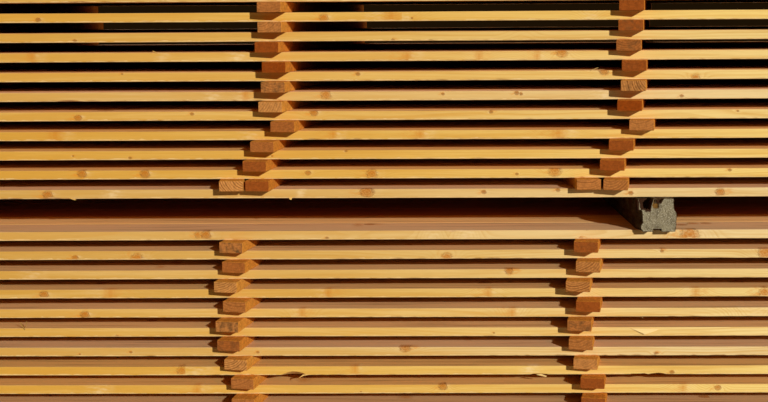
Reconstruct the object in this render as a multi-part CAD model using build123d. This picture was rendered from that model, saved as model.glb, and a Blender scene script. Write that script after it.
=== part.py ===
from build123d import *
from math import cos, radians
from random import Random
import os

# A stack of sawn softwood: a lower pack of boards on two ground bearers, and an upper pack on two
# bearers that stand on the lower one. All sizes are in millimetres. X runs along the boards, Y from
# the front of the stack to its back and Z up. The origin is under the middle of the stack.

# Boards, all of one sawn size
board_length = 3900.0
board_width = 125.0
board_thickness = 22.0
board_arris = 1.2
board_gap = 5.0
boards_across = 8
layers_in_pack = 20

# How unevenly the boards lie: along their length, and sideways as a share of the gap between them
board_end_scatter = 9.0
board_side_scatter = 0.3
layer_side_scatter = 3.0

# Stickers, the spacer sticks between two layers of boards
sticker_width = 58.0
sticker_arris = 1.0
lower_sticker_thickness = 26.0
upper_sticker_thickness = 25.0
sticker_columns = 5
sticker_spacing = 850.0
sticker_front_overhang = 41.0
sticker_rear_overhang = 42.0
sticker_end_scatter = 7.0
sticker_side_scatter = 2.0

# The front ends of a pack's sticker columns lie this far along from the middle of the stack
lower_column_start = -188.0
upper_column_start = -86.0

# Each gap's row of stickers was laid a little to the left or right of the columns, from the lowest
# gap up
lower_row_shifts = (0, 14, -9, 6, -12, 17, 3, -6, 11, -4, 23, 22, 6, -7, -12, 8, -15, 7, 1)
upper_row_shifts = (-33, -40, -20, 29, -2, 7, 9, -7, 0, 0, 12, -9, 4, 15, -7, 2, -12, 8, 3)

# How far each column's stickers turn from square across the boards, in degrees, left to right
lower_turns = (9.5, 9.0, 10.5, 11.0, 11.0)
upper_turns = (9.0, 9.5, 8.5, 11.0, 11.0)
turn_scatter = 0.7

# The upper pack's lowest gap has a second sticker beside each one
twin_gap = 3.5
twin_turn = -3.0

# Bearers, the squared timbers under each pack; the two under the upper pack stand a little to the left
bearer_width = 86.0
bearer_height = 80.0
bearer_arris = 3.0
bearer_spacing = 1950.0
middle_bearers_shift = -175.0
bearer_front_overhang = 32.0
bearer_rear_overhang = 35.0
groove_width = 21.0
groove_depth = 6.5

# The rotten top corner at the front end of the right-hand middle bearer, the crumbled side below it,
# and the wane on the other edge
rot_width = 27.0
rot_height = 28.0
rot_depth = 48.0
rot_rim = 4.5
crumbled_width = 9.0
crumbled_top = 30.0
crumbled_bottom = 68.0
wane_width = 6.0
wane_height = 32.0

# How far the upper pack sits to the right of the lower one
pack_offset = 70.0

pack_depth = boards_across * board_width + (boards_across - 1) * board_gap
front_face = -pack_depth / 2
scatter = Random(11)


def board(length, x, y, underside):
    """One plank, with its four long edges a little rounded off by handling."""
    section = Plane.YZ * chamfer(Rectangle(board_width, board_thickness).vertices(), board_arris)
    plank = extrude(section, length / 2, both=True)
    return Pos(x, y, underside + board_thickness / 2) * plank


def board_layer(pack_x, underside):
    """A layer of planks side by side, with their ends and front edges not quite in line."""
    layer_y = scatter.uniform(-layer_side_scatter, layer_side_scatter)
    planks = []
    for place in range(boards_across):
        x = pack_x + scatter.uniform(-board_end_scatter, board_end_scatter)
        y = front_face + board_width / 2 + place * (board_width + board_gap) + layer_y
        y += scatter.uniform(-board_side_scatter, board_side_scatter) * board_gap
        planks.append(board(board_length, x, y, underside))
    return planks


def sticker(front_x, turn, thickness, underside):
    """One spacer stick, laid from its front end back across the boards at a small angle."""
    overhang = sticker_front_overhang + scatter.uniform(-sticker_end_scatter, sticker_end_scatter)
    length = (overhang + pack_depth + sticker_rear_overhang) / cos(radians(turn))
    section = Plane.XZ * chamfer(Rectangle(sticker_width, thickness).vertices(), sticker_arris)
    stick = extrude(section, -length)
    front_end = Pos(front_x, front_face - overhang, underside + thickness / 2)
    return front_end * Rot(Z=-turn) * stick


def pack(name, pack_x, underside, sticker_thickness, column_start, row_shifts, turns, twins):
    """A pack of board layers with stickers between them; gives back the height of its top."""
    columns = [[] for column in range(sticker_columns)]
    for layer in range(layers_in_pack):
        nodes[f"{name}_boards_{layer + 1:02d}"] = board_layer(pack_x, underside)
        underside += board_thickness
        if layer + 1 == layers_in_pack:
            break
        shift = row_shifts[layer % len(row_shifts)]
        for column in range(sticker_columns):
            x = (column - (sticker_columns - 1) / 2) * sticker_spacing + column_start + shift
            x += scatter.uniform(-sticker_side_scatter, sticker_side_scatter)
            turn = turns[column % len(turns)] + scatter.uniform(-turn_scatter, turn_scatter)
            columns[column].append(sticker(x, turn, sticker_thickness, underside))
            if twins and layer == 0:
                reach = (sticker_width / cos(radians(turn)) + sticker_width / cos(radians(twin_turn))) / 2
                reach += twin_gap
                columns[column].append(sticker(x - reach, twin_turn, sticker_thickness, underside))
        underside += sticker_thickness
    for column in range(sticker_columns):
        nodes[f"{name}_stickers_{column + 1}"] = columns[column]
    return underside


def bearer(x, underside):
    """A squared timber across the stack, with a strap groove along the middle of its underside."""
    length = bearer_front_overhang + pack_depth + bearer_rear_overhang
    outline = chamfer(Rectangle(bearer_width, bearer_height).vertices(), bearer_arris)
    outline -= Pos(0, -bearer_height / 2 + groove_depth / 2) * Rectangle(groove_width, groove_depth)
    timber = extrude(Plane.XZ * outline, -length)
    front = front_face - bearer_front_overhang
    return Pos(x, front, underside + bearer_height / 2) * timber


def worn_bearer(x, underside):
    """The bearer whose front end shows, with a rotten hollow, a crumbled side and a waney edge."""
    top = underside + bearer_height
    left = x - bearer_width / 2
    right = x + bearer_width / 2
    front = front_face - bearer_front_overhang
    hollow_left = left + rot_rim
    hollow = Polyline(
        (hollow_left, top),
        (hollow_left + rot_width * 0.75, top),
        (hollow_left + rot_width, top - rot_height * 0.85),
        (hollow_left + rot_width * 0.8, top - rot_height),
        (hollow_left + rot_width * 0.1, top - rot_height * 0.92),
        (hollow_left, top - rot_height * 0.7),
        close=True,
    )
    front_plane = Plane((0, front, 0), z_dir=(0, -1, 0), x_dir=(1, 0, 0))
    rot = extrude(front_plane * make_face(hollow), -rot_depth)
    side_loss = Polyline(
        (left, top - crumbled_top),
        (left + crumbled_width, top - crumbled_top - crumbled_width * 0.6),
        (left + crumbled_width, top - crumbled_bottom + crumbled_width),
        (left + crumbled_width * 0.45, top - crumbled_bottom),
        (left + crumbled_width * 0.45, underside),
        (left, underside),
        close=True,
    )
    crumbled = extrude(front_plane * make_face(side_loss), -rot_depth)
    bark_edge = Polyline(
        (right, top), (right - wane_width, top), (right - wane_width * 0.6, top - wane_height * 0.7),
        (right, top - wane_height), close=True,
    )
    length = bearer_front_overhang + pack_depth + bearer_rear_overhang
    wane = extrude(front_plane * make_face(bark_edge), -length)
    return bearer(x, underside) - rot - crumbled - wane


nodes = {}
nodes["ground_bearer_left"] = [bearer(-bearer_spacing / 2 - pack_offset / 2, 0.0)]
nodes["ground_bearer_right"] = [bearer(bearer_spacing / 2 - pack_offset / 2, 0.0)]
lower_top = pack("lower", -pack_offset / 2, bearer_height, lower_sticker_thickness,
                 lower_column_start, lower_row_shifts, lower_turns, False)
middle_bearers_x = pack_offset / 2 + middle_bearers_shift
nodes["middle_bearer_left"] = [bearer(middle_bearers_x - bearer_spacing / 2, lower_top)]
nodes["middle_bearer_right"] = [worn_bearer(middle_bearers_x + bearer_spacing / 2, lower_top)]
pack("upper", pack_offset / 2, lower_top + bearer_height, upper_sticker_thickness,
     upper_column_start, upper_row_shifts, upper_turns, True)

# The origin goes under the middle of the whole stack
everything = Compound([solid for solids in nodes.values() for solid in solids])
extent = everything.bounding_box()
middle = Pos(-extent.center().X, -extent.center().Y, -extent.min.Z)

os.makedirs("parts", exist_ok=True)
for name, solids in nodes.items():
    export_step(Compound([middle * solid for solid in solids]), f"parts/{name}.step")
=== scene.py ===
"""A stack of sawn lumber: planks in two packs, the stickers between their layers, and the bearers."""
import math

import bmesh
import bpy
import numpy as np
from mathutils import Matrix, Vector
from mathutils.geometry import delaunay_2d_cdt


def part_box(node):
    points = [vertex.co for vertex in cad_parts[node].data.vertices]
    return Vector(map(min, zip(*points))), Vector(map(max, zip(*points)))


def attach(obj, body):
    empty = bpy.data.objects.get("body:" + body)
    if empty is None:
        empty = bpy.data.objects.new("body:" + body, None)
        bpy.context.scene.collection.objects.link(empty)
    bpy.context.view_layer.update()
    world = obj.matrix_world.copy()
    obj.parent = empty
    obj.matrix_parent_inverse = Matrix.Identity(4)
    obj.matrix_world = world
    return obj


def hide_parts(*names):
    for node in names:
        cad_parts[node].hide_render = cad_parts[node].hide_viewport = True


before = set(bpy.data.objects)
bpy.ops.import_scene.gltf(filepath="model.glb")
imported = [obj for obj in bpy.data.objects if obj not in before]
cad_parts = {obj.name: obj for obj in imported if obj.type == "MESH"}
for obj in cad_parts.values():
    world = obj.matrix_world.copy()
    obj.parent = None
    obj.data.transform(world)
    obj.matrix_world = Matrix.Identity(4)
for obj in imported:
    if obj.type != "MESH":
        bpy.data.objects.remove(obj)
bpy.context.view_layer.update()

# The view, from a little over three metres in front of the stack and level with the upper pack's tenth
# layer, looking slightly down and to the left.
picture_width = 768
picture_height = 402
focal_pixels = 1383.7
camera_place = Vector((0.2266, -3.8249, 1.529))
camera_pitch = math.radians(7.616)
camera_yaw = math.radians(0.785)
camera_roll = math.radians(-0.311)


def put_in_scene(name, data):
    """A new object in the scene, made of this camera, lamp or mesh."""
    placed = bpy.data.objects.new(name, data)
    bpy.context.scene.collection.objects.link(placed)
    return placed


lens = bpy.data.cameras.new("camera")
lens.sensor_width = 36.0
lens.lens = focal_pixels / picture_width * lens.sensor_width
camera = put_in_scene("camera", lens)
camera.matrix_world = (
    Matrix.Translation(camera_place)
    @ Matrix.Rotation(camera_yaw, 4, "Z")
    @ Matrix.Rotation(math.pi / 2 - camera_pitch, 4, "X")
    @ Matrix.Rotation(camera_roll, 4, "Z")
)
bpy.context.scene.camera = camera

# The boards are softwood planks straight from the saw, eight side by side in each of a pack's twenty
# layers. Their long edges are rough, torn pale along the underside in places, with chips, knots and a
# little resin. They lie loose on the stickers.
board_saw_arris = 0.0012
arris_roughness = 0.0012
arris_rounding = 0.3
torn_rounding = 0.2
board_tear = 0.0032
board_end_easing = 0.0008
board_sway = 0.0012
board_lift = 0.0005

# How far apart uneven things bend: an arris across and up, a tear and a torn stretch, a chip, and the way
# a whole plank sways and lifts
arris_bends = (0.02, 0.015)
tear_bends = (0.012, 0.22)
chip_bends = 0.01
plank_bends = (0.7, 0.5)

ring_width = 0.0029
board_pith_distance = (0.02, 0.11)
whorl_spacing = 0.75
branch_radii = (0.007, 0.016)

# How closely the sections of a plank are taken, in metres: where the picture shows it, elsewhere at the
# front, at the back, and inside the pack
seen_left = -0.8
seen_right = 1.25
seen_spacing = 0.009
unseen_spacing = 0.026
back_spacing = unseen_spacing * 1.5
inner_spacing = 0.35

# A plank counts as in the front or the back row when it lies this close to the stack's face
row_tolerance = 0.02

amber_wood = (0.645, 0.345, 0.062)
early_wood = (0.745, 0.455, 0.122)
palest_edge_wood = (0.89, 0.665, 0.27)
late_wood = (0.66, 0.33, 0.055)
pale_wood = (0.84, 0.56, 0.2)
torn_wood = (0.9, 0.62, 0.27)
wide_face_wood = (0.74, 0.443, 0.19)
smudged_wood = (0.4, 0.195, 0.07)
inner_painted_shade = (0.42, 0.1, 0.016)
end_wood = (0.46, 0.265, 0.1)
end_rings = (0.21, 0.09, 0.028)
knot_amber = (0.6, 0.18, 0.01)
knot_brown = (0.22, 0.075, 0.015)
knot_bark = (0.27, 0.095, 0.018)
knot_cream = (0.97, 0.76, 0.42)
resin_wood = (0.72, 0.25, 0.018)

# The front edges pale from amber to early wood and from that to the palest edge wood between these
# distances from a plank's left end, so they grow paler towards the stack's right.
amber_fades = (1.15, 2.2)
early_fades = (2.1, 3.1)

# A plank's mood is how light it is, how pale rather than orange, and how pale its wide faces are, with
# 0 for the last in the planks that no side shows, which are painted dark as painted shade. The wide faces
# are paler the higher in the stack they lie.
mood_spread = (1, 0.4, 1)
mood_start = (0, 0.3, 0.01)
paler_above = 0.6
paling_a_metre = 2.3
most_paling = 0.7

# The knots on the front edges, each by the picture's column and row and its radius there in pixels. Pins
# are small dark branches, round ones show an amber heart in a darker outline, half ones are cut off by an
# arris, soft bands cross the whole edge, and flares are pale wood swirled round a knot further in.
pin_knots = [
    (38, 20, 2.2), (75, 41, 1.8), (122, 74, 1), (192, 114, 1.6), (412, 18, 1), (393, 40, 1.5),
    (358, 74, 1.8), (443, 94, 1.4), (517, 93, 2), (491, 112, 1.6), (682, 96, 1.6), (738, 111, 1),
    (521, 94, 1.6), (73, 156, 0.9), (272, 156, 0.9), (130, 158, 1.4), (517, 174, 1.4), (484, 192, 2),
    (730, 170, 1.5), (558, 190, 1.8), (631, 193, 2), (80, 354, 0.9), (131, 352, 1.3), (258, 352, 1.3),
    (494, 333, 0.9), (656, 353, 1.8), (672, 372, 2), (361, 392, 0.8), (662, 251, 1.6),
    (117, 338, 1.8), (346, 151, 1.2), (581, 238, 1.6), (327, 238, 1.4),
]
round_knots = [
    (75, 258, 2.6), (78, 118, 3), (82, 174, 3.8), (145, 174, 4), (48, 195, 4.2), (367, 192, 5.5),
    (85, 315, 3.8), (44, 295, 3.8), (509, 271, 3.4), (405, 347, 4.6), (443, 387, 3.6), (718, 388, 2.8),
    (206, 235, 4.2), (308, 173, 2.4), (314, 113, 3.2), (604, 71, 3.8), (720, 192, 3.8),
]
half_knots = [
    (562, 52, 4.6), (696, 78, 3.2), (137, 259, 5), (447, 258, 4.6), (372, 174, 4.4), (555, 171, 5),
    (690, 235, 7.5), (765, 253, 5.5), (765, 293, 4.6), (198, 235, 3), (182, 371, 4.2), (324, 18, 3.6),
    (326, 95, 4.2),
]
soft_bands = [
    (407, 57, 6), (479, 57, 5), (537, 57, 4), (333, 135, 4.5), (420, 135, 5.5), (558, 134, 8),
    (110, 294, 8), (328, 294, 4.5), (488, 294, 5), (302, 313, 4.5), (355, 369, 4.5), (683, 389, 5),
    (197, 391, 5), (32, 57, 5), (55, 136, 8), (696, 293, 5), (512, 313, 5), (245, 95, 4),
    (391, 17, 9),
]
pale_flares = [
    (238, 57, 4), (163, 56, 3.4), (212, 97, 3.5), (590, 17, 3.6), (606, 94, 4.6), (250, 136, 4.5),
    (113, 193, 4), (301, 191, 2), (33, 275, 5), (196, 371, 7), (100, 391, 5), (580, 294, 5),
    (530, 367, 4), (755, 313, 9), (404, 19, 3.5), (432, 236, 4), (467, 234, 4.5),
]
knot_darkness = [
    (pin_knots, 0.75), (round_knots, 0.4), (half_knots, 0.25), (soft_bands, 0), (pale_flares, -1),
]
seen_knot_depth = 0.05
knot_overlap = 0.006

# Some boards are more orange than the rest and some paler and greyer: the rows where they cross the
# middle of the picture, and how pale they are
row_paleness = [((17, 135, 155, 174, 371, 391), 0.05), ((97, 194, 235, 352), 0.95)]

# Chips and wane on the front edges: from and to which of the picture's columns, at which row, how far
# back and how high the wood is gone in millimetres, and 0 for the lower arris or 3 for the upper one
chips_seen = [
    (53, 82, 102, 9, 4, 0), (0, 24, 198, 5, 3, 0), (40, 64, 198, 6, 4, 0), (282, 306, 375, 16, 9, 0),
    (630, 647, 376, 14, 4, 0), (649, 666, 376, 16, 6, 0), (653, 661, 100, 4, 4, 3), (300, 304, 337, 4, 3, 0),
    (286, 300, 198, 3, 2, 0), (150, 172, 160, 3, 2, 0), (420, 452, 140, 3, 2, 0), (700, 735, 258, 4, 2, 0),
    (66, 92, 3, 6, 4, 0), (530, 547, 375, 13, 5, 0), (448, 456, 231, 5, 4, 3), (606, 632, 41, 4, 3, 0),
]
chip_reach = 0.012
chip_rounding = 0.5
millimetre = 0.001


def solids_of(node):
    """The points of each separate solid in a CAD node, one array a solid."""
    mesh = bmesh.new()
    mesh.from_mesh(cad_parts[node].data)
    welded_within = 1e-5
    bmesh.ops.remove_doubles(mesh, verts=mesh.verts, dist=welded_within)
    mesh.verts.ensure_lookup_table()
    seen = set()
    solids = []
    for first in mesh.verts:
        if first.index in seen:
            continue
        seen.add(first.index)
        solid = [first]
        for point in solid:
            for edge in point.link_edges:
                other = edge.other_vert(point)
                if other.index not in seen:
                    seen.add(other.index)
                    solid.append(other)
        solids.append(np.array([point.co[:] for point in solid]))
    mesh.free()
    return solids


def lie_of(points, along=None):
    """How a stick lies: its low corner, its axes along, across and up, and its three sizes."""
    if along is None:
        along = np.append(np.linalg.eigh(np.cov(points[:, :2].T))[1][:, -1], 0)
        along *= np.sign(along[np.abs(along).argmax()])
    axes = np.array([along, np.cross((0, 0, 1), along), (0, 0, 1)], float)
    own = points @ axes.T
    return own.min(0) @ axes, axes, own.max(0) - own.min(0)


def uneven(chance, places, spacing, low, high):
    """Values between low and high that wander along a stick, with a bend after each spacing."""
    bends = np.arange(places[0] - spacing, places[-1] + 2 * spacing, spacing)
    share = np.interp(places, bends, chance.random(len(bends)))
    return low + (high - low) * share


def stations_along(length, spacing, left):
    """Where the sections of a plank are taken: closely where the picture shows it, widely elsewhere."""
    places = [0, board_end_easing]
    while places[-1] < length - board_end_easing:
        seen = seen_left < left + places[-1] < seen_right
        places.append(places[-1] + (seen_spacing if seen and spacing <= unseen_spacing else spacing))
    places[-1] = length - board_end_easing
    return np.array(places + [length])


def sawn_outlines(width, height, cuts, rounding, flat_points):
    """Squared sections, each corner cut back by its own amounts, with more points on the wide faces."""
    at = np.array([(0, 0), (width, 0), (width, height), (0, height)])
    inward = np.array([(1, 1), (-1, 1), (-1, -1), (1, -1)])
    corners = []
    for corner in range(4):
        cut = inward[corner] * cuts[:, corner]
        upright = at[corner] + cut * (0, 1)
        middle = at[corner] + cut * rounding[:, corner, None]
        flat = at[corner] + cut * (1, 0)
        corners.append((upright, middle, flat) if corner % 2 == 0 else (flat, middle, upright))
    outline = []
    for corner in range(4):
        outline += corners[corner]
        if corner % 2 == 0:
            start, end = corners[corner][2], corners[corner + 1][0]
            shares = np.arange(1, flat_points + 1) / (flat_points + 1)
            outline += [start + (end - start) * share for share in shares]
    return np.stack(outline, axis=1)


def skin(stations, outlines, easing):
    """Points, side faces and end faces of a stick that follows its outlines, with its ends eased."""
    outlines = outlines.copy()
    for end in (0, -1):
        low, high = outlines[end].min(0), outlines[end].max(0)
        centre = (low + high) / 2
        outlines[end] = centre + (outlines[end] - centre) * (1 - 2 * easing / (high - low))
    count, around = outlines.shape[:2]
    along = np.broadcast_to(stations[:, None, None], (count, around, 1))
    points = np.concatenate([along, outlines], axis=2).reshape(-1, 3)
    ring = np.arange(around)
    following = (ring + 1) % around
    base = np.arange(count - 1)[:, None] * around
    sides = np.stack([base + ring, base + following, base + around + following, base + around + ring], axis=2)
    ends = [ring[::-1], (count - 1) * around + ring]
    return points, sides.reshape(-1, 4), ends


def in_log(chance, size, pith_distance, towards=None):
    """Where a stick was sawn from its log: a turn, the pith's offset, and a start along the trunk."""
    most_turn = 0.5
    most_aside = 0.04
    trunk_length = 30
    turn = chance.uniform(-most_turn, most_turn)
    side = chance.choice((-1, 1))
    offset = np.array([chance.uniform(-most_aside, most_aside), side * chance.uniform(*pith_distance)])
    start = chance.uniform(0, trunk_length)
    if towards is not None:
        turn = 0.0
        away = math.radians(towards)
        offset = -np.array([math.sin(away), math.cos(away)]) * chance.uniform(*pith_distance)

    def place(points):
        across, up = (points[:, 1:] - size[1:] / 2).T
        return np.column_stack([
            points[:, 0] + start,
            across * math.cos(turn) - up * math.sin(turn) + offset[0],
            across * math.sin(turn) + up * math.cos(turn) + offset[1],
        ])

    return place


def random_knots(chance, size):
    """Knots in whorls along a plank, each a branch that runs out from the pith at some angle."""
    whorl_scatter = 0.03
    right_through = 1.0
    knots = []
    whorl = chance.uniform(0, whorl_spacing)
    while whorl < size[0]:
        for _ in range(chance.integers(1, 4)):
            place = (whorl + chance.normal(0, whorl_scatter), chance.uniform(0, size[1]), size[2] / 2)
            lean = chance.uniform(-0.9, 0.9)
            axis = np.array([chance.uniform(-0.2, 0.2), lean, math.sqrt(1 - lean * lean)])
            radius = chance.uniform(*branch_radii)
            dark = chance.uniform(0, 0.7)
            pale = chance.uniform(-0.7, 0.7)
            knots.append((place, axis, radius, dark, pale, right_through))
        whorl += whorl_spacing * chance.uniform(0.5, 1.5)
    return knots


def knot_marks(points, loops, sizes, knots):
    """For each face corner, its place round the knot nearest to its face, and that knot's kind."""
    far_away = 9.0
    tiny_and_faint = (0.001, 0, 0)
    out_of_reach = 1e3
    if not knots:
        return np.full((len(loops), 3), far_away), np.tile(tiny_and_faint, (len(loops), 1))
    place, axis, *kind, reach = (np.array(values) for values in zip(*knots))
    kind = np.stack(kind, axis=1)
    axis /= np.linalg.norm(axis, axis=1)[:, None]
    lengthways = (1, 0, 0) - axis[:, :1] * axis
    lengthways /= np.linalg.norm(lengthways, axis=1)[:, None]
    crossways = np.cross(axis, lengthways)
    starts = np.cumsum(sizes) - sizes
    middles = np.add.reduceat(points[loops], starts, axis=0) / sizes[:, None]
    offset = middles[:, None] - place
    inward = (offset * axis).sum(2)
    aside = np.linalg.norm(offset - inward[..., None] * axis, axis=2) / kind[:, 0]
    nearest = np.repeat((aside + out_of_reach * (np.abs(inward) > reach)).argmin(1), sizes)
    offset = points[loops] - place[nearest]
    axes = np.stack([lengthways, crossways, axis], axis=1)[nearest]
    return np.einsum("ijk,ik->ij", axes, offset), kind[nearest]


mark_domains = {
    "log_place": "POINT", "stick_place": "POINT", "stick_mood": "POINT",
    "cut_end": "FACE", "knot_place": "CORNER", "knot_kind": "CORNER",
}


def timber(name, sticks, material, nodes):
    """One object made of several sticks, with the marks that its material reads.

    Each stick is given as its low corner, its axes, its skin, how it lay in its log, its mood and its knots.
    """
    all_points, all_loops, all_sizes = [], [], []
    marks = {label: [] for label in mark_domains}
    first = 0
    for origin, axes, (points, sides, ends), log, mood, knots in sticks:
        loops = np.concatenate([sides.ravel()] + [end.ravel() for end in ends])
        sizes = [np.full(len(end), 3) if end.ndim == 2 else np.array([len(end)]) for end in ends]
        sizes = np.concatenate([np.full(len(sides), 4)] + sizes)
        at_end = (np.arange(len(sizes)) >= len(sides)).astype(float)
        around, kind = knot_marks(points, loops, sizes, knots)
        moods = np.tile(mood, (len(points), 1))
        for label, values in zip(marks, (log(points), points, moods, at_end, around, kind)):
            marks[label].append(values)
        all_points.append(origin + points @ axes)
        all_loops.append(loops + first)
        all_sizes.append(sizes)
        first += len(points)
    mesh = bpy.data.meshes.new(name)
    points, loops, sizes = (np.concatenate(parts) for parts in (all_points, all_loops, all_sizes))
    mesh.vertices.add(len(points))
    mesh.vertices.foreach_set("co", points.ravel())
    mesh.loops.add(len(loops))
    mesh.loops.foreach_set("vertex_index", loops.astype(np.int32))
    mesh.polygons.add(len(sizes))
    mesh.polygons.foreach_set("loop_start", (np.cumsum(sizes) - sizes).astype(np.int32))
    mesh.update(calc_edges=True)
    mesh.shade_flat()
    for label, domain in mark_domains.items():
        values = np.concatenate(marks[label])
        single = values.ndim == 1
        attribute = mesh.attributes.new(label, "FLOAT" if single else "FLOAT_VECTOR", domain)
        attribute.data.foreach_set("value" if single else "vector", values.ravel())
    mesh.materials.append(material)
    piece = put_in_scene(name, mesh)
    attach(piece, "root")
    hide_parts(*nodes)
    return piece


def send(feed, socket):
    """Links an output to a socket, or sets the socket to a plain number, colour or vector."""
    if isinstance(feed, bpy.types.NodeSocket):
        socket.id_data.links.new(feed, socket)
    elif feed is not None:
        socket.default_value = (*feed, 1) if socket.type == "RGBA" else feed


def fill(node, **feeds):
    """Feeds a node's sockets by their names."""
    for label, feed in feeds.items():
        send(feed, node.inputs[label.replace("_", " ")])


def add(kind, *feeds, **settings):
    """Adds a shader node beside those that feed it, links its sockets in order, gives its first output."""
    tree = next(feed.id_data for feed in feeds if isinstance(feed, bpy.types.NodeSocket))
    node = tree.nodes.new(kind)
    for setting, value in settings.items():
        setattr(node, setting, value)
    for socket, feed in zip(node.inputs, feeds):
        send(feed, socket)
    return node.outputs[0]


def calc(operation, *values):
    """A sum done by one shader node."""
    return add("ShaderNodeMath", *values, operation=operation)


def product(first, *others):
    """Several values multiplied together."""
    for other in others:
        first = calc("MULTIPLY", first, other)
    return first


def scaled(value, gain, base):
    """A value times a gain, plus a base."""
    return calc("MULTIPLY_ADD", value, gain, base)


def ramp(value, low, high, smooth=True):
    """0 where the value is at low, 1 where it is at high."""
    kind = "SMOOTHSTEP" if smooth else "LINEAR"
    return add("ShaderNodeMapRange", value, low, high, 0, 1, interpolation_type=kind)


def parts_of(vector):
    """The three numbers of a vector."""
    return add("ShaderNodeSeparateXYZ", vector).node.outputs


def blend(share, first, second, blend_type="MIX"):
    """One colour laid over another by a share from 0 to 1."""
    unused = [None] * 5
    mix = add("ShaderNodeMix", share, *unused, first, second, data_type="RGBA", blend_type=blend_type)
    return mix.node.outputs[2]


def covered(colour, *layers):
    """A colour with others laid over it, each given by its share and its colour."""
    for share, layer in layers:
        colour = blend(share, colour, layer)
    return colour


def toned(colour, red, green=None, blue=None):
    """A colour made lighter or darker by numbers that change over the surface."""
    scale = add("ShaderNodeCombineColor", red, green or red, blue or green or red)
    return blend(1, colour, scale, "MULTIPLY")


def grainy(place, stretch, detail=3, roughness=0.55):
    """Noise from 0 to 1, with so many waves a metre along each axis."""
    stretched = add("ShaderNodeVectorMath", place, stretch, operation="MULTIPLY")
    return add("ShaderNodeTexNoise", stretched, None, 1, detail, roughness)


def shade_group(name, feeds, outputs):
    """A node group with named sockets: its inputs and their usual values, None for a vector.

    Gives back the group, the outputs of its input node, and its output node.
    """
    group = bpy.data.node_groups.new(name, "ShaderNodeTree")
    for label, value in feeds.items():
        kind = "NodeSocketVector" if value is None else "NodeSocketFloat"
        socket = group.interface.new_socket(label, in_out="INPUT", socket_type=kind)
        if value is not None:
            socket.default_value = value
    for label in outputs:
        group.interface.new_socket(label, in_out="OUTPUT", socket_type="NodeSocketFloat")
    return group, group.nodes.new("NodeGroupInput").outputs, group.nodes.new("NodeGroupOutput")


def place_group(tree, group, **feeds):
    """Puts a node group into a material and gives back its outputs."""
    node = tree.nodes.new("ShaderNodeGroup")
    node.node_tree = group
    fill(node, **feeds)
    return node.outputs


def mark(tree, label, out=1):
    """A mark from the mesh: output 1 is its three numbers, 2 its single number."""
    node = tree.nodes.new("ShaderNodeAttribute")
    node.attribute_name = label
    return node.outputs[out]


# The growth rings, fibres and broad streaks of softwood, from where the surface was in the log
softwood, feed, give = shade_group(
    "softwood", {"Log Place": None, "Ring Width": ring_width, "Knot Push": 0.0},
    ["Late Wood", "Fibre", "Streak", "Fleck"],
)
log_place = feed["Log Place"]
axes = parts_of(log_place)
wander = grainy(log_place, (1.1, 9, 9), 2, 0.5)
radial = calc("ADD", product(axes[1], axes[1]), product(axes[2], axes[2]))
radial = scaled(wander, 0.03, calc("SQRT", radial))
radial = calc("ADD", scaled(axes[0], 0.004, radial), feed["Knot Push"])
rings = calc("DIVIDE", radial, feed["Ring Width"])
year = calc("FLOOR", rings)
season = calc("FRACT", rings)
autumn = product(ramp(season, 0.35, 0.88), ramp(season, 1, 0.93))
lean_year = add("ShaderNodeTexWhiteNoise", None, year, noise_dimensions="1D")
fill(
    give, Late_Wood=product(autumn, scaled(lean_year, 0.7, 0.3)),
    Fibre=grainy(log_place, (28, 700, 700), 2, 0.6), Streak=grainy(log_place, (2.6, 75, 75), 3, 0.6),
    Fleck=grainy(log_place, (40, 150, 150), 2, 0.6),
)

# A knot: its heart with rings of its own, the broken outline of bark round it, the stained wood on one
# side, the pale wood on the other, and how it pushes the rings of the trunk aside. Its kind is its radius,
# how dark it is (0 for a soft band, -1 for pale wood alone), and on which side and how strongly it is pale.
# All of it but the push fades away along the branch.
branch_knot, feed, give = shade_group(
    "branch knot", {"Knot Place": None, "Knot Kind": None},
    ["Heart", "Dark", "Bark", "Resin", "Cream", "Push"],
)
around = parts_of(feed["Knot Place"])
radius, dark, pale = parts_of(feed["Knot Kind"])
solid_knot = ramp(dark, 0.05, 0.3, False)
shallow = ramp(calc("ABSOLUTE", around[2]), 0.034, 0.01)
lengthways = calc("DIVIDE", around[0], product(radius, 1.25))
crossways = product(calc("DIVIDE", around[1], radius), scaled(solid_knot, 0.8, 0.3))
square = product(crossways, crossways)
lumps = grainy(feed["Knot Place"], (120, 180, 30))
near = calc("SQRT", scaled(lengthways, lengthways, square))
near = product(near, product(lumps, 2))
heart_share = product(calc("MINIMUM", scaled(dark, 1.4, 0.42), 0.8), shallow)
heart = product(ramp(near, 1.15, scaled(solid_knot, 0.5, 0.05)), heart_share)
own_rings = calc("SINE", product(near, 15.0))
heart = product(heart, scaled(own_rings, 0.22, 0.86))
bark = product(ramp(near, 0.72, 0.98), ramp(near, 1.25, 1.02))
bark = product(bark, product(ramp(lumps, 0.36, 0.56), shallow))
bark = product(bark, product(solid_knot, 0.75))
slow = product(lengthways, 0.33)
wide = calc("SQRT", scaled(slow, slow, product(square, 0.3)))
strength = product(calc("ABSOLUTE", pale), shallow)
pale_side = ramp(product(lengthways, calc("SIGN", pale)), 0.1, 1.2)
pale_side = calc("MAXIMUM", pale_side, ramp(dark, -0.2, -0.8))
stain = grainy(feed["Knot Place"], (60, 150, 20), 2)
stain = product(ramp(stain, 0.4, 0.62), ramp(wide, 1.3, 0.3),
                calc("SUBTRACT", 1, pale_side), scaled(solid_knot, 0.55, 0.45), strength)
beside = add("ShaderNodeVectorMath", feed["Knot Place"], (7.3, 1.9, 4.1))
beside = grainy(beside, (55, 150, 20), 1)
cream = product(ramp(beside, 0.3, 0.75), ramp(wide, 1, 0.2))
cream = product(cream, product(pale_side, strength))
push = product(calc("EXPONENT", product(wide, wide, -1.6)), radius, 1.3)
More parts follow.
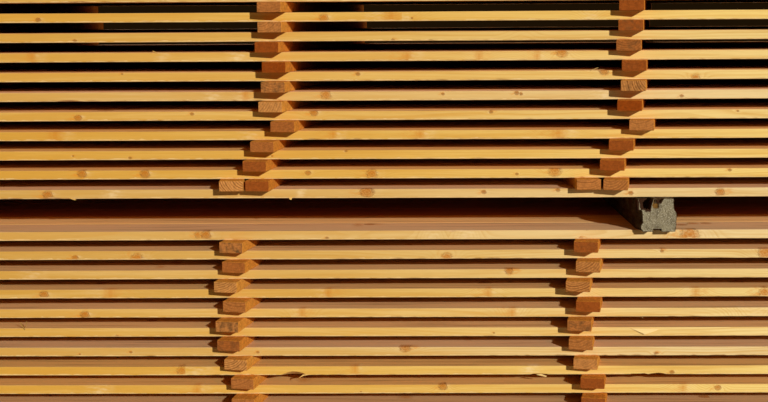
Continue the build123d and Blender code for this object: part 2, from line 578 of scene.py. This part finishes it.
fill(give, Heart=calc("MAXIMUM", heart, 0), Dark=dark, Bark=bark, Resin=stain, Cream=cream, Push=push)


def new_surface(name):
    """A material with only its shader and output in it, its node tree and the shader."""
    material = bpy.data.materials.new(name)
    material.use_nodes = True
    tree = material.node_tree
    return material, tree, tree.nodes["Principled BSDF"]


def finish_surface(shader, colour, roughness, specular, height, strength, depth):
    """Gives a shader its colour, roughness and shine, and a bump so deep in metres for a height of 1."""
    bump = shader.id_data.nodes.new("ShaderNodeBump")
    fill(bump, Height=height, Strength=strength, Distance=depth)
    fill(shader, Base_Color=colour, Roughness=roughness, Specular_IOR_Level=specular, Normal=bump.outputs[0])


board_finish, tree, shader = new_surface("sawn board")
knots = place_group(tree, branch_knot, Knot_Place=mark(tree, "knot_place"),
                    Knot_Kind=mark(tree, "knot_kind"))
grain = place_group(tree, softwood, Log_Place=mark(tree, "log_place"), Knot_Push=knots["Push"])
mood = parts_of(mark(tree, "stick_mood"))
spot = parts_of(mark(tree, "stick_place"))
facing = parts_of(tree.nodes.new("ShaderNodeNewGeometry").outputs["True Normal"])
flat_way = ramp(calc("ABSOLUTE", facing[2]), 0.6, 0.9)
upright_way = ramp(calc("ABSOLUTE", facing[1]), 0.25, 0.6)
colour = covered(
    amber_wood,
    (ramp(spot[0], *amber_fades, False), early_wood),
    (ramp(spot[0], *early_fades, False), palest_edge_wood),
    (product(grain["Late Wood"], 0.5), late_wood),
    (product(ramp(grain["Streak"], 0.42, 0.72), 0.55), late_wood),
    (product(ramp(grain["Streak"], 0.5, 0.28), 0.35), pale_wood),
    (product(flat_way, 0.85), toned(wide_face_wood, scaled(mood[2], 0.25, 0.88))),
    (product(ramp(grain["Streak"], 0.5, 0.7), flat_way, 0.6), smudged_wood),
)
colour = toned(colour, scaled(grain["Fibre"], 0.2, 0.9))
tone = scaled(mood[0], 0.08, 0.96)
green = product(tone, scaled(mood[1], 0.07, 0.96))
blue = product(green, scaled(mood[1], 0.45, 0.75))
torn = calc("LESS_THAN", spot[2], scaled(grain["Fleck"], 0.009, -0.0017))
torn = product(torn, upright_way)
end_colour = blend(product(grain["Late Wood"], 0.8), end_wood, end_rings)
colour = covered(
    toned(colour, tone, green, blue),
    # Planks that no side shows are painted dark: painted shade inside the pack.
    (product(calc("LESS_THAN", mood[2], 0.001), 0.75), inner_painted_shade),
    (product(knots["Resin"], 0.9), resin_wood),
    (product(knots["Cream"], 0.5), knot_cream),
    (knots["Heart"], blend(knots["Dark"], knot_amber, knot_brown)),
    (knots["Bark"], knot_bark),
    (product(torn, 0.6), torn_wood),
    (mark(tree, "cut_end", 2), toned(end_colour, tone, green)),
)
saw = grainy(mark(tree, "stick_place"), (650, 40, 40), 2, 0.6)
height = scaled(grain["Fibre"], 0.6, product(saw, 0.5))
height = scaled(torn, product(grain["Fleck"], -1.5), height)
finish_surface(shader, colour, scaled(grain["Fibre"], 0.25, 0.62), specular=0.06,
               height=height, strength=0.5, depth=0.0006)


def seen_at(column, row, axis, level):
    """The point of a plane across an axis that shows at a column and row of the picture."""
    ray = Vector((column - picture_width / 2, picture_height / 2 - row, -focal_pixels))
    ray = camera.matrix_world.to_3x3() @ ray
    return camera_place + ray * (level - camera_place[axis]) / ray[axis]


def front_spot(column, row):
    """The X and Z on the stack's front face that show at a column and row of the picture."""
    spot = seen_at(column, row, 1, front_face)
    return spot.x, spot.z


board_nodes = sorted(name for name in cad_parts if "_boards_" in name)
top_layer = max(board_nodes, key=lambda name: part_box(name)[1].z)
lower_top_layer = max((name for name in board_nodes if "lower" in name), key=lambda name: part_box(name)[1].z)
front_face = float(np.median([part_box(name)[0].y for name in board_nodes]))
back_face = float(np.median([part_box(name)[1].y for name in board_nodes]))
pixel_size = (front_face - camera_place.y) / focal_pixels
knot_spots = [
    (*front_spot(column, row), radius * pixel_size, dark)
    for knots_of_kind, dark in knot_darkness
    for column, row, radius in knots_of_kind
]
chip_spots = [(front_spot(chip[0], chip[2]), front_spot(chip[1], chip[2]), *chip[3:]) for chip in chips_seen]
paleness_at = [
    (front_spot(picture_width / 2, row)[1], paleness) for rows, paleness in row_paleness for row in rows
]


def roughen(cuts, rounding, stations, chance):
    """Makes a plank's arrises uneven and tears the two along its underside in places."""
    for corner in range(4):
        for way, spacing in enumerate(arris_bends):
            cuts[:, corner, way] += uneven(chance, stations, spacing, 0, arris_roughness)
    for corner in (0, 1):
        tear = np.maximum(uneven(chance, stations, tear_bends[0], -1, 1), 0)
        tear *= np.maximum(uneven(chance, stations, tear_bends[1], -0.6, 1), 0)
        cuts[:, corner] += (tear * board_tear)[:, None] * (0.8, 1)
        rounding[:, corner] += torn_rounding * tear


def knots_seen_on(origin, size, chance):
    """The knots placed by the picture that lie on this front plank, each a branch that runs back."""
    found = []
    for x, z, radius, dark in knot_spots:
        if origin[2] - knot_overlap < z < origin[2] + size[2] + knot_overlap:
            rise = min(max(z - origin[2], millimetre), size[2] - millimetre)
            axis = np.array([chance.uniform(-0.1, 0.2), 1, chance.uniform(-0.15, 0.15)])
            pale = chance.choice((1, 1, -1)) * chance.uniform(0.4, 0.8)
            found.append(((x - origin[0], 0, rise), axis, radius, dark, pale, seen_knot_depth))
    return found


def chip_away(cuts, rounding, stations, origin, size, chance):
    """Cuts the chips and the wane placed by the picture into this front plank's arrises."""
    for (left, z), (right, _), back, up, corner in chip_spots:
        arris = origin[2] + (size[2] if corner == 3 else 0)
        if abs(z - arris) < chip_reach:
            share = (stations + origin[0] - left) / (right - left)
            depth = np.sqrt(np.clip(share * (1 - share) * 4, 0, 1))
            depth *= uneven(chance, stations, chip_bends, 0.5, 1.1)
            for way, most in ((0, back), (1, up)):
                cuts[:, corner, way] = np.maximum(cuts[:, corner, way], depth * most * millimetre)
            rounding[:, corner] = np.where(depth > 0.1, chip_rounding, rounding[:, corner])


chance = np.random.default_rng(4)
for node in board_nodes:
    planks = []
    for place, points in enumerate(sorted(solids_of(node), key=lambda points: points[:, 1].min())):
        origin, lie, size = lie_of(points)
        in_front = origin[1] < front_face + row_tolerance
        at_back = origin[1] + size[1] > back_face - row_tolerance
        shown = in_front or at_back or node == top_layer
        spacing = unseen_spacing if in_front else back_spacing if shown else inner_spacing
        stations = stations_along(size[0], spacing, origin[0])
        cuts = np.full((len(stations), 4, 2), board_saw_arris)
        rounding = np.full((len(stations), 4), arris_rounding)
        knots_here = []
        if shown:
            roughen(cuts, rounding, stations, chance)
            knots_here = random_knots(chance, size)
        if in_front:
            knots_here = [knot for knot in knots_here if knot[0][1] > seen_knot_depth
                          or not seen_left < knot[0][0] + origin[0] < seen_right]
            knots_here += knots_seen_on(origin, size, chance)
            chip_away(cuts, rounding, stations, origin, size, chance)
        flat_points = 1 if in_front and node != top_layer else 3 if shown else 0
        outlines = sawn_outlines(size[1], size[2], cuts, rounding, flat_points)
        if shown:
            sway = uneven(chance, stations, plank_bends[0], -board_sway, board_sway)
            lift = uneven(chance, stations, plank_bends[1], -board_lift, board_lift)
            outlines += np.stack([sway, lift], axis=1)[:, None]
        mood = chance.random(3) * mood_spread + mood_start
        # Planks inside the pack get a mood of 0, which paints them with painted shade.
        if place > 1 and not shown:
            mood[2] = 0.0
        else:
            mood[2] += min(max(paling_a_metre * (origin[2] - paler_above), 0), most_paling)
        for height, paleness in paleness_at:
            if in_front and origin[2] < height < origin[2] + size[2]:
                mood[1] = paleness
        log = in_log(chance, size, board_pith_distance)
        planks.append((origin, lie, skin(stations, outlines, board_end_easing), log, mood, knots_here))
    timber(node.replace("boards", "board_layer"), planks, board_finish, [node])

# Slivers and crumbs of wood that the saw and handling have left on the boards: a flake half lifted off
# one front edge, splinters that hang from others, and crumbs on the lower pack's top. Each is a thin
# wedge of the board's own wood that still clings to it.

# A sliver's four corners by the picture's column and row, how far out each stands in millimetres, its
# thickness, and how light its wood is. Those with a negative number are painted dark, as painted shadows of
# splinters.
slivers_seen = [
    (((631, 328.4), (644.8, 334.4), (656, 330.8), (660, 328.4)), (2.5, 7, 4.5, 1.5), 1, 2),
    (((298, 378.6), (303.5, 375.8), (311.5, 374.4), (303, 374.6)), (3, 1, 0.6, 0.6), 0.8, 2),
    # These three are painted dark: painted shadows of splinters.
    (((19.8, 322.4), (20.5, 322.1), (25.2, 329.8), (24.5, 330.2)), (5, 5, 1, 1), 0.7, -5),
    (((26.5, 321.4), (27.1, 321.6), (25.9, 327.2), (25.3, 327)), (4, 4, 2, 2), 0.7, -5),
    (((590, 70.4), (590, 71.2), (598.4, 67.8), (598.2, 67.2)), (1, 1, 5, 5), 0.7, -3),
    (((152.4, 51.2), (153, 50.8), (158.6, 53.6), (158.2, 54.2)), (4, 4, 0.5, 0.5), 0.7, 0.5),
    (((288.6, 197.2), (292.6, 197), (291.6, 199.6), (290, 199.8)), (0.8, 0.8, 0.6, 0.6), 1, 1.5),
    (((68, 198), (70, 197.4), (76.4, 199.6), (75, 200.4)), (1, 1, 2.4, 2.4), 0.7, 0.5),
    (((536, 374.6), (541, 373.8), (547, 376), (546, 377)), (0.5, 0.5, 1.8, 1.8), 0.7, 0.5),
]
crumbs_on_edges = [
    (62, 233.6), (300.6, 190.6), (312, 352), (304, 355.4), (204, 100.2), (642.5, 317.6), (461, 233),
]
crumbs_on_top = [
    (240, 227.4), (256, 224.2), (259, 222.4), (255, 229.8), (130, 226), (21, 229.4), (588, 230),
]
crumb_size = 0.0022
crumb_shape = ((-1, 0, -0.5), (1, 0, -0.4), (0.8, 0, 0.5), (-0.7, 0, 0.4))
set_in_edge = 0.0004
set_on_top = 0.0006
sliver_log_place = (9, 0, 0.03)
sliver_mood = (0.8, 0.5)


def front_near(column, row):
    """How far forward the layer of boards lies that shows at a column and row of the picture."""
    height = front_spot(column, row)[1]
    nearest = min(board_nodes, key=lambda name: abs(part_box(name)[0].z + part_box(name)[1].z - 2 * height))
    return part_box(nearest)[0].y


def wedge(corners, thickness, tone_and_shadow=1):
    """A small solid between four corners and the same four set back, with its faces turned outward."""
    points = np.concatenate([corners, corners + (0, thickness, 0)])
    sides = np.array([(0, 1, 2, 3), (7, 6, 5, 4), (0, 4, 5, 1), (1, 5, 6, 2), (2, 6, 7, 3), (3, 7, 4, 0)])
    if np.cross(corners[1] - corners[0], corners[2] - corners[0])[1] > 0:
        sides = sides[:, ::-1]
    skin_of_wedge = (points - board_end, sides, [])
    mood = (tone_and_shadow, *sliver_mood)
    return board_end, np.eye(3), skin_of_wedge, lambda place: place + sliver_log_place, mood, []


chance = np.random.default_rng(21)
board_end = np.array((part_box(lower_top_layer)[0].x, 0, 0))
lower_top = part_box(lower_top_layer)[1].z
wedges = []
for corners, outs, thickness, tone_and_shadow in slivers_seen:
    face = front_near(*np.mean(corners, axis=0))
    points = np.array([seen_at(*corner, 1, face - out * millimetre) for corner, out in zip(corners, outs)])
    wedges.append(wedge(points, thickness * millimetre, tone_and_shadow))
crumb_places = [np.array(seen_at(*pixel, 1, front_near(*pixel) - set_in_edge)) for pixel in crumbs_on_edges]
crumb_places += [np.array(seen_at(*pixel, 2, lower_top + set_on_top)) for pixel in crumbs_on_top]
for place in crumb_places:
    corners = np.array(crumb_shape) * crumb_size / 2
    wedges.append(wedge(place + corners * chance.uniform(0.7, 1.3, (4, 1)), crumb_size))
timber("slivers_and_crumbs", wedges, board_finish, [])

# The stickers are narrow sawn battens, laid across each layer to let the air through. They come from many
# boards, so their tones run from deep orange to pinkish tan. They lie loose, and their rough ends stand
# out at the front.
stick_side_light = (0.68, 0.3, 0.048)
stick_side_deep = (0.58, 0.195, 0.022)
stick_end_light = (0.6, 0.25, 0.062)
stick_end_deep = (0.27, 0.044, 0.001)
stick_end_rings = (0.17, 0.045, 0.006)
stick_grime = (0.15, 0.066, 0.02)
sticker_ring_width = 0.0056
sticker_pith_distance = (0.04, 0.08)

# Where the sections of a stick are taken: from its front end, along it, and from its back end
front_stations = (0, 0.0012, 0.008, 0.02, 0.035, 0.055)
middle_start = 0.1
middle_end = 0.06
middle_spacing = 0.09
back_stations = (0.03, 0.0012, 0)
sticker_end_easing = 0.0006

# How worn a stick's arrises are, and how far and how deep its front end is cut out of square
least_arris = 0.0008
arris_wear = 0.0022
most_slant = 0.03
slant_depth = 0.05

# How the ends that show look, from the lowest gap up: how light, how strongly ringed, how grimy, and
# which way the heart of the log lay, in degrees to the left of straight up
hidden_ends = [(0.4, 0.4, 0.2, 20)] * 10
sticker_ends = {
    "upper_stickers_3": [
        (0.15, 0.1, 0, 0), (0.2, 0.2, 0, 20), (0.4, 0.3, 0, -30), (0.35, 0.3, 0.1, 10),
        (1, 0.4, 0.1, 60), (0.6, 0.5, 1, 0), (0.05, 0.1, 0.1, 40), (0.1, 0.2, 0.1, 0),
        (0.65, 0.4, 0.3, 30), (0.5, 0.3, 0.1, 0)],
    "upper_stickers_4": [
        (0.6, 0.9, 0, 15), (0.15, 0.2, 0, 0), (0.15, 0.2, 0.1, 30), (0.65, 0.4, 0, 10),
        (0.05, 0.1, 0, 0), (0.9, 1, 0.6, -70), (0.15, 0.4, 0.2, 0), (0.4, 0.8, 0.5, 10),
        (0.2, 0.2, 0.5, 30), (0.15, 0.1, 0, 0)],
    "lower_stickers_3": hidden_ends + [
        (0.5, 0.3, 0.1, 0), (0.5, 0.4, 0, 20), (1, 1, 0, 35), (0.3, 0.3, 0.5, 0),
        (0.7, 0.4, 1, 10), (0.5, 0.6, 0, 0), (1, 0.8, 0.1, 25), (0.35, 0.2, 0, 0),
        (0.6, 0.3, 1, 0)],
    "lower_stickers_4": hidden_ends + [
        (0.2, 0.3, 0.3, 0), (0.15, 0.1, 0.1, 0), (0.85, 0.2, 0, 30), (0.55, 0.7, 0.1, 10),
        (0.5, 0.3, 0.8, 0), (0.15, 0.1, 0, 0), (0.75, 1, 0.1, 15), (0.75, 0.9, 0.1, 45),
        (0.2, 0.2, 0.3, 0)],
}
twin_ends = {"upper_stickers_3": (1, 1, 0, -50), "upper_stickers_4": (0.6, 0.7, 0.1, 10)}

sticker_finish, tree, shader = new_surface("sticker")
log_place = mark(tree, "log_place")
grain = place_group(tree, softwood, Log_Place=log_place, Ring_Width=sticker_ring_width)
light, ringed, grimy = parts_of(mark(tree, "stick_mood"))
blotch = ramp(grainy(log_place, (60, 75, 75)), 0.4, 0.72)
side_colour = covered(
    stick_side_deep, (light, stick_side_light),
    (product(ramp(grain["Streak"], 0.35, 0.7), 0.4), stick_side_deep),
)
end_colour = covered(
    stick_end_deep, (light, stick_end_light),
    (product(grain["Late Wood"], scaled(ringed, 0.85, 0.08)), stick_end_rings),
    (product(blotch, grimy), stick_grime),
)
colour = blend(mark(tree, "cut_end", 2), side_colour, end_colour)
rough_sawn = grainy(mark(tree, "stick_place"), (330, 330, 520), 2, 0.65)
mottled = grainy(log_place, (90, 150, 150), 3, 0.6)
colour = toned(colour, scaled(mottled, 1.1, 0.45))
colour = toned(colour, scaled(rough_sawn, 0.7, 0.65))
finish_surface(shader, colour, roughness=0.8, specular=0.04,
               height=scaled(grain["Late Wood"], 0.4, rough_sawn), strength=0.7, depth=0.001)

chance = np.random.default_rng(8)
for node in sorted(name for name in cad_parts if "_stickers_" in name):
    sticks = []
    gap = 0
    lies = [lie_of(points) for points in solids_of(node)]
    lies.sort(key=lambda lie: (round(lie[0][2], 3), -lie[0][0]))
    for number, (origin, lie, size) in enumerate(lies):
        twin = number > 0 and abs(origin[2] - lies[number - 1][0][2]) < size[2] / 2
        gap += not twin
        middle = np.arange(middle_start, size[0] - middle_end, middle_spacing)
        stations = np.concatenate([front_stations, middle, size[0] - np.array(back_stations)])
        wear = chance.random((len(stations), 4, 2)) ** 2
        cuts = least_arris + arris_wear * wear
        outlines = sawn_outlines(size[1], size[2], cuts, np.full((len(stations), 4), arris_rounding), 1)
        points, sides, ends = skin(stations, outlines, sticker_end_easing)
        slant = chance.uniform(-most_slant, most_slant)
        near_front = np.clip(1 - points[:, 0] / slant_depth, 0, 1)
        points[:, 0] += near_front * slant * (points[:, 1] - size[1] / 2)
        look = (*chance.random(2), 0.5 * chance.random(), chance.uniform(-90, 90))
        if twin and node in twin_ends:
            look = twin_ends[node]
        elif not twin and gap <= len(sticker_ends.get(node, [])):
            look = sticker_ends[node][gap - 1]
        log = in_log(chance, size, sticker_pith_distance, look[3])
        sticks.append((origin, lie, (points, sides, ends), log, look[:3], []))
    timber(node.replace("stickers", "sticker_column"), sticks, sticker_finish, [node])

# The bearers are squared timbers that carry a pack and leave room under it for a lift truck's forks. They
# lie loose and have been outdoors for years: grey at the ends, speckled with painted glints of their fibres,
# and rotten at one front corner, where the wood under the skin has crumbled to brown. Their sides, and the
# deep of the rot's hollows, are painted near black: painted shade.
bearer_grey = (0.315, 0.262, 0.15)
bearer_painted_glint = (0.68, 0.6, 0.42)
bearer_dark = (0.135, 0.102, 0.052)
bearer_painted_side_shade = (0.055, 0.026, 0.009)
bearer_golden = (0.22, 0.105, 0.02)
bearer_hollow_shade = (0.05, 0.018, 0.006)
bearer_arris = 0.003
groove_width = 0.021
groove_depth = 0.0065

bearer_ring_width = 0.0026
bearer_pith_distance = (0, 0.03)
bearer_end_easing = 0.001
bearer_roughness = 0.0009

# How many points a section has along half its underside, its right side, its top and its left side, and
# where sections are taken: closely at the front end, then widely
section_points = (9, 26, 34, 16)
close_end = 0.07
close_spacing_middle = 0.0025
close_spacing_ground = 0.01
wide_start = 0.075
wide_spacing = 0.015
wide_end = 0.012

# The small triangles that fill an end: how far in they start, their size, how far their corners stray and
# keep from the rim, and how unevenly they are set back
fill_margin = 0.003
fill_end = 0.001
fill_size = 0.004
fill_scatter = 0.0008
fill_clearance = 0.0022
fill_roughness = 0.0014

# The worn end: the hollow lies a rim's width from the left side, and a smaller pocket and a ledge lie
# beside it. The side has crumbled below the rim, and the right edge is waney. Each profile gives, for a
# depth below the top, how far the wood is gone. A wall is how much of a hollow's width its side takes up.
rot_rim = 0.0045
rot_width = 0.027
rot_height = 0.028
rot_depth = 0.048
rot_slope = 0.02
rot_wall = 0.12
pocket_left = 0.035
pocket_width = 0.024
pocket_height = 0.01
pocket_depth = rot_depth / 2
pocket_slope = 0.012
pocket_wall = 0.2
ledge_left = 0.031
ledge_right = 0.046
ledge_top = 0.004
ledge_bottom = 0.022
ledge_depth = 0.006
crumbled_profile = (
    (0, -0.0055), (0.006, -0.004), (0.012, 0), (0.02, -0.001), (0.028, 0.003), (0.034, 0.008),
    (0.06, 0.009), (0.066, 0.004), (0.074, 0.005), (0.08, 0.01),
)
wane_profile = (
    (0, 0.0062), (0.02, 0.0056), (0.028, 0.003), (0.036, -0.0024), (0.07, -0.002), (0.08, 0),
)

# How close to the top, the left side and the right edge a point has to be for their wear to reach it
top_reach = 0.0005
side_reach = 0.012
edge_reach = 0.004

bearer_finish, tree, shader = new_surface("weathered bearer")
grain = place_group(tree, softwood, Log_Place=mark(tree, "log_place"), Ring_Width=bearer_ring_width)
spot = mark(tree, "stick_place")
patches = grainy(spot, (18, 60, 60), 4, 0.65)
glints = grainy(spot, (260, 420, 420), 3, 0.7)
end_grain = covered(
    bearer_dark, (ramp(patches, 0.25, 0.6), bearer_grey),
    (product(grain["Late Wood"], 0.25), bearer_dark),
    (product(ramp(glints, 0.44, 0.34), 0.7), bearer_dark),
    # Pale specks: painted glints of the fibres.
    (product(ramp(glints, 0.55, 0.66), 0.85), bearer_painted_glint),
)
rot_and_shade = mark(tree, "rot_and_shade", 2)
# The sides are painted near black and dark in patches: painted shade.
colour = covered(
    bearer_painted_side_shade, (ramp(patches, 0.35, 0.75), bearer_dark), (mark(tree, "cut_end", 2), end_grain),
    # The hollows of the worn end are painted near black the deeper they are sunk: painted shade. The ledge
    # beside them is golden with rot.
    (ramp(rot_and_shade, -0.1, -0.6), bearer_golden), (ramp(rot_and_shade, 0.2, 0.8), bearer_hollow_shade),
)
finish_surface(shader, colour, roughness=0.9, specular=0.15,
               height=scaled(grain["Late Wood"], -0.4, glints), strength=1, depth=0.002)


def grooved_section(width, height):
    """The outline of a bearer with a strap groove underneath, counted round from its bottom corner."""
    low, high, right = bearer_arris, height - bearer_arris, width - bearer_arris
    eased = bearer_arris * arris_rounding
    groove = (width - groove_width) / 2
    under, side, top, left = section_points
    underside = np.linspace(low, groove, under)
    steps = [(v, 0) for v in underside] + [(groove, groove_depth * 0.5)]
    steps += [(groove + groove_width * share, groove_depth) for share in (0, 0.25, 0.5, 0.75, 1)]
    steps += [(width - groove, groove_depth * 0.5), *((width - v, 0) for v in underside[::-1])]
    steps += [(width - eased, eased), *((width, z) for z in np.linspace(low, high, side))]
    steps += [(width - eased, height - eased), *((v, height) for v in np.linspace(right, low, top))]
    steps += [(eased, height - eased), *((0, z) for z in np.linspace(high, low, left))]
    return np.array(steps + [(eased, eased)])


def hollow_under(from_left, left, width, wall):
    """How deep a hollow is across the bearer, from 0 to 1, with its right wall twice as wide."""
    share = (from_left - left) / width
    return np.clip(share / wall, 0, 1) * np.clip((1 - share) / (wall * 2), 0, 1)


def wear_down(outlines, stations, size, chance):
    """Wears the hollows, side and waney edge into the front end; gives back how deep each point is sunk, from
    0 to 1, which the material paints as shade.
    """
    width, height = size[1], size[2]
    across = outlines[:, :, 0]
    from_left = width - across
    from_top = height - outlines[:, :, 1]
    inward = np.clip((rot_depth - stations) / rot_slope, 0, 1)[:, None]
    shallow = np.clip((pocket_depth - stations) / pocket_slope, 0, 1)[:, None]
    uneven_depth = chance.uniform(0.88, 1.08, across.shape)
    deep = rot_height * hollow_under(from_left, rot_rim, rot_width, rot_wall) * inward
    small = pocket_height * hollow_under(from_left, pocket_left, pocket_width, pocket_wall) * shallow
    sunk = np.maximum(deep, small) * (from_top < top_reach) * uneven_depth
    crumbled = np.interp(from_top, *zip(*crumbled_profile)) * inward
    side = width - crumbled * chance.uniform(0.75, 1.1, across.shape)
    wane = np.interp(from_top, *zip(*wane_profile)) * chance.uniform(0.85, 1, across.shape)
    across = np.where(from_left < side_reach, np.maximum(across, side), across)
    across = np.where(across < edge_reach, np.minimum(across, wane), across)
    outlines[:, :, 0] = np.clip(across, wane, side)
    outlines[:, :, 1] -= sunk
    return np.clip(sunk / pocket_height, 0, 1)


def on_ledge(point, size):
    """Whether a point of the worn end lies on the soft ledge beside its hollow."""
    from_left, from_top = size[1] - point[0], size[2] - point[1]
    return ledge_left < from_left < ledge_right and ledge_top < from_top < ledge_bottom


def end_cap(points, rim, size, outward, has_ledge, chance):
    """Fills an end inside its rim with small triangles whose corners are set back unevenly.

    Gives back all points, the triangles, and each new point's mark of rot: -1 on the rotten ledge, else 0.
    """
    edge = points[rim][:, 1:]
    middle = np.array([(v, w) for v in np.arange(fill_margin, size[1] - fill_end, fill_size)
                       for w in np.arange(fill_margin, size[2] - fill_end, fill_size)])
    middle += chance.uniform(-fill_scatter, fill_scatter, middle.shape)
    gap = np.linalg.norm(middle[:, None] - edge[None], axis=2).min(1)
    flat = [Vector(p) for p in np.concatenate([edge, middle[gap > fill_clearance]])]
    spots, _, triangles, sources = delaunay_2d_cdt(flat, [], [list(range(len(edge)))], 1, 1e-7)[:4]
    numbers, inside, soft = [], [], []
    for spot, source in zip(spots, sources):
        if source and source[0] < len(edge):
            numbers.append(rim[source[0]])
            continue
        numbers.append(len(points) + len(inside))
        soft.append(has_ledge and on_ledge(spot, size))
        set_back = chance.uniform(0, fill_roughness) + ledge_depth * soft[-1]
        inside.append((points[rim[0], 0] - outward * set_back, *spot))
    triangles = np.array([[numbers[corner] for corner in triangle] for triangle in triangles])
    points = np.concatenate([points, inside])
    first, second, third = (points[triangles[:, corner]] for corner in range(3))
    flipped = np.cross(second - first, third - first)[:, 0] * outward < 0
    triangles[flipped] = triangles[flipped][:, ::-1]
    return points, triangles, -np.array(soft, float)


chance = np.random.default_rng(15)
for node in sorted(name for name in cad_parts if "bearer" in name):
    origin, lie, size = lie_of(np.concatenate(solids_of(node)), np.array([0, 1, 0]))
    worn = node == "middle_bearer_right"
    close_spacing = close_spacing_middle if node.startswith("middle") else close_spacing_ground
    stations = np.concatenate([
        [0, bearer_end_easing], np.arange(0, close_end, close_spacing)[1:],
        np.arange(wide_start, size[0] - wide_end, wide_spacing), [size[0] - bearer_end_easing, size[0]],
    ])
    outlines = np.repeat(grooved_section(size[1], size[2])[None], len(stations), axis=0)
    rot_and_shade = np.zeros(outlines.shape[:2])
    if worn:
        rot_and_shade = wear_down(outlines, stations, size, chance)
    rough = chance.uniform(-bearer_roughness, bearer_roughness, outlines.shape)
    outlines += rough * (outlines[:, :, 1:] > groove_depth + millimetre)
    points, sides, ends = skin(stations, outlines, bearer_end_easing)
    rot_and_shade = [rot_and_shade.ravel()]
    caps = []
    for rim, outward in zip(ends, (-1, 1)):
        points, triangles, soft = end_cap(points, rim, size, outward, worn and outward < 0, chance)
        caps.append(triangles)
        rot_and_shade.append(soft)
    log = in_log(chance, size, bearer_pith_distance)
    stick = (origin, lie, (points, sides, caps), log, chance.random(3), [])
    piece = timber(node.replace("bearer", "bearer_timber"), [stick], bearer_finish, [node])
    attribute = piece.data.attributes.new("rot_and_shade", "FLOAT", "POINT")
    attribute.data.foreach_set("value", np.concatenate(rot_and_shade))

# The yard floor and the light. The floor is plain and pale. A low sun from the front right casts the
# stickers' shadows on the boards, a weak, broad lamp from behind lights the other sides, and a faint warm
# sky fills the rest. Behind it all is one dark tone.
floor_tone = (0.46, 0.4, 0.33)
floor_half = 14.0
sky_tone = (1.0, 0.72, 0.48)
sky_strength = 0.065
backdrop_tone = (0.011, 0.0055, 0.0015)

floor_mesh = bpy.data.meshes.new("floor")
corners = [(x * floor_half, y * floor_half, 0) for x, y in ((-1, -1), (1, -1), (1, 1), (-1, 1))]
floor_mesh.from_pydata(corners, [], [(0, 1, 2, 3)])
floor = put_in_scene("floor", floor_mesh)
floor_finish, tree, shader = new_surface("floor")
fill(shader, Base_Color=floor_tone, Roughness=0.9)
floor_mesh.materials.append(floor_finish)

# Each lamp: which way it shines, how strongly, and how wide it looks in degrees
lamps = {"sun": ((-0.43, 0.845, -0.318), 3.25, 1.5), "back_light": ((0.35, -0.82, -0.45), 1.2, 12)}
for name, (travel, strength, spread) in lamps.items():
    lamp = put_in_scene(name, bpy.data.lights.new(name, "SUN"))
    lamp.data.energy = strength
    lamp.data.angle = math.radians(spread)
    lamp.rotation_euler = Vector(travel).to_track_quat("-Z", "Y").to_euler()

world = bpy.data.worlds.new("sky")
bpy.context.scene.world = world
world.use_nodes = True
tree = world.node_tree
sky = tree.nodes["Background"]
fill(sky, Color=sky_tone, Strength=sky_strength)
backdrop = tree.nodes.new("ShaderNodeBackground")
fill(backdrop, Color=backdrop_tone)
camera_ray = tree.nodes.new("ShaderNodeLightPath").outputs["Is Camera Ray"]
shown = add("ShaderNodeMixShader", camera_ray, sky.outputs[0], backdrop.outputs[0])
send(shown, tree.nodes["World Output"].inputs["Surface"])
bpy.context.scene.view_settings.view_transform = "Standard"
